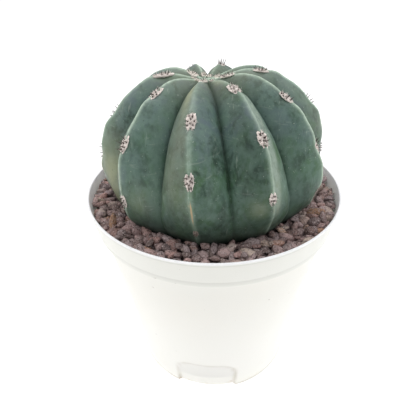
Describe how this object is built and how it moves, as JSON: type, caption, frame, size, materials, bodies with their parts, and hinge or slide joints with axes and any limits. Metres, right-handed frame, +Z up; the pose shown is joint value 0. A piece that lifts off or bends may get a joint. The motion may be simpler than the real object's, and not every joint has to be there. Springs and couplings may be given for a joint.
{
  "type": "potted round cactus",
  "caption": "Globular ribbed cactus with woolly, short-spined areoles, growing in a white plastic nursery pot whose soil is topped with brown lava gravel.",
  "frame": {"origin": "centre of the pot's foot, on the surface that it stands on", "axes": "+Z up along the pot's axis; the pictured side faces -Y; +X to the right seen from there"},
  "size_m": [0.105, 0.105, 0.1394],
  "materials": {
    "pot_plastic": "satin",
    "potting_mix": "matte",
    "lava_rock": "matte",
    "cactus_skin": "satin"
  },
  "bodies": {
    "root": {"pot": "pot_plastic", "potting_mix": "potting_mix", "lava_gravel": "lava_rock", "cactus": "cactus_skin"}
  },
  "joints": []
}
